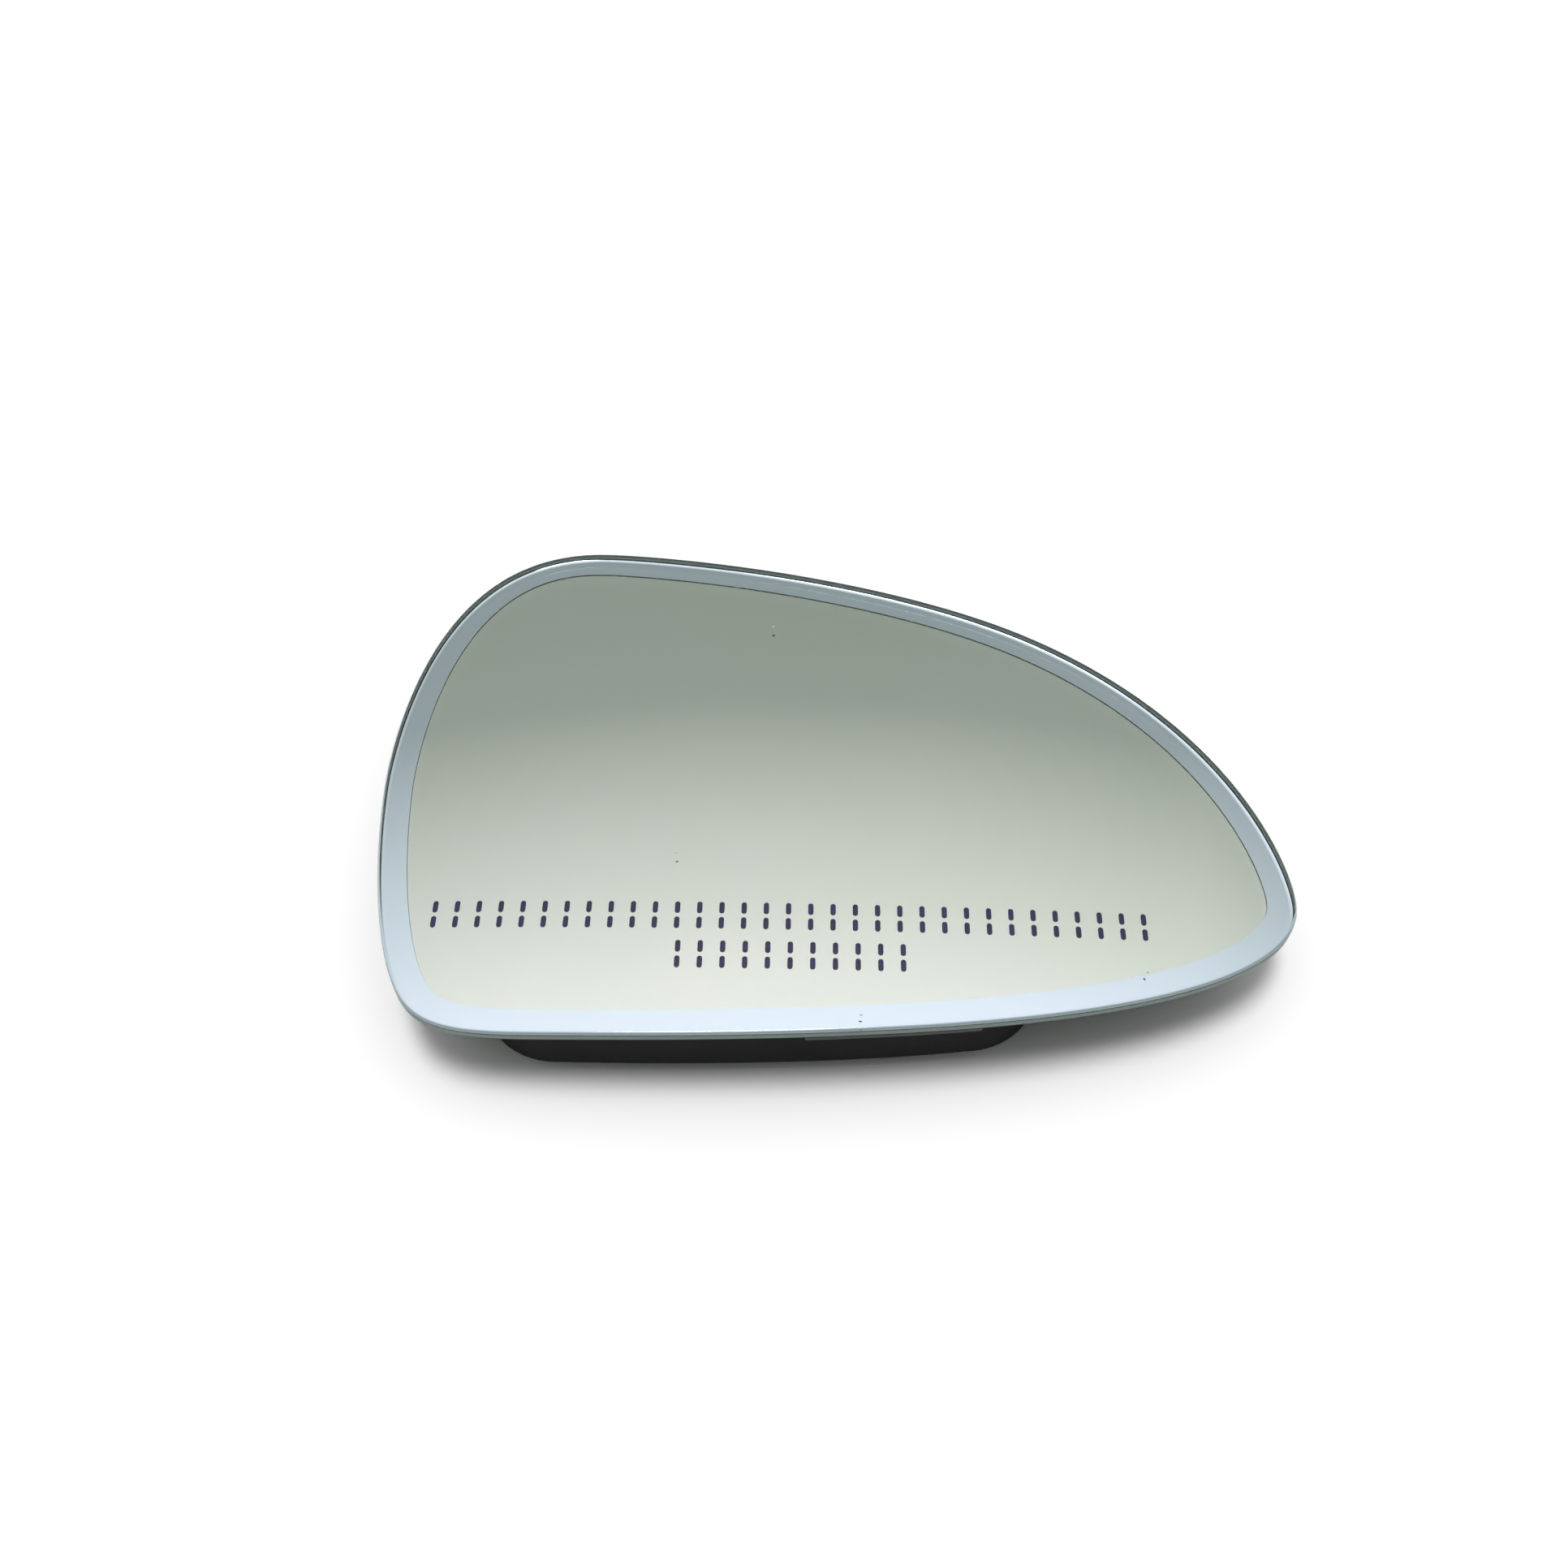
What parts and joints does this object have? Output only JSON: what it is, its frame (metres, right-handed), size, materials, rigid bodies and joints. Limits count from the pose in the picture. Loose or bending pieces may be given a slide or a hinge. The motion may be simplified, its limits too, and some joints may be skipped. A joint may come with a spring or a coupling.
{
  "type": "door mirror glass",
  "caption": "Convex, self-dimming and heated door mirror glass with a pale border band, on a ribbed black carrier with a clip ring of sprung fingers.",
  "frame": {"origin": "on the axis of the clip ring, in the plane in which the clip fingers grip the disc of the mirror motor", "axes": "+Z out of the mirror face, +X towards the pointed nose of the glass, which is its outboard end, +Y up on the car"},
  "size_m": [0.166, 0.1095, 0.0211],
  "materials": {
    "clear_glass": "polished, with a rounded front edge",
    "seal_silver": "satin, bluish silver",
    "dimming_gel": "clear, faintly green",
    "mirror_coat": "mirror coated",
    "spring_metal": "rolled strip",
    "heater_film": "smooth printed film",
    "foam_tape": "closed-cell foam",
    "terminal_metal": "tinned",
    "ring_plastic": "smooth moulding",
    "carrier_plastic": "fine-grained moulding"
  },
  "bodies": {
    "root": {"front_glass": "clear_glass", "border_seal": "seal_silver", "cell_gel": "dimming_gel", "rear_glass": "mirror_coat", "lower_bus_clip": "spring_metal", "upper_bus_clip": "spring_metal", "heater_foil": "heater_film", "bonding_tape": "foam_tape", "lower_heater_blade": "terminal_metal", "upper_heater_blade": "terminal_metal", "terminal_rivets": "terminal_metal", "dimming_pins": "terminal_metal", "clip_ring": "ring_plastic", "carrier_plate": "carrier_plastic"}
  },
  "joints": []
}
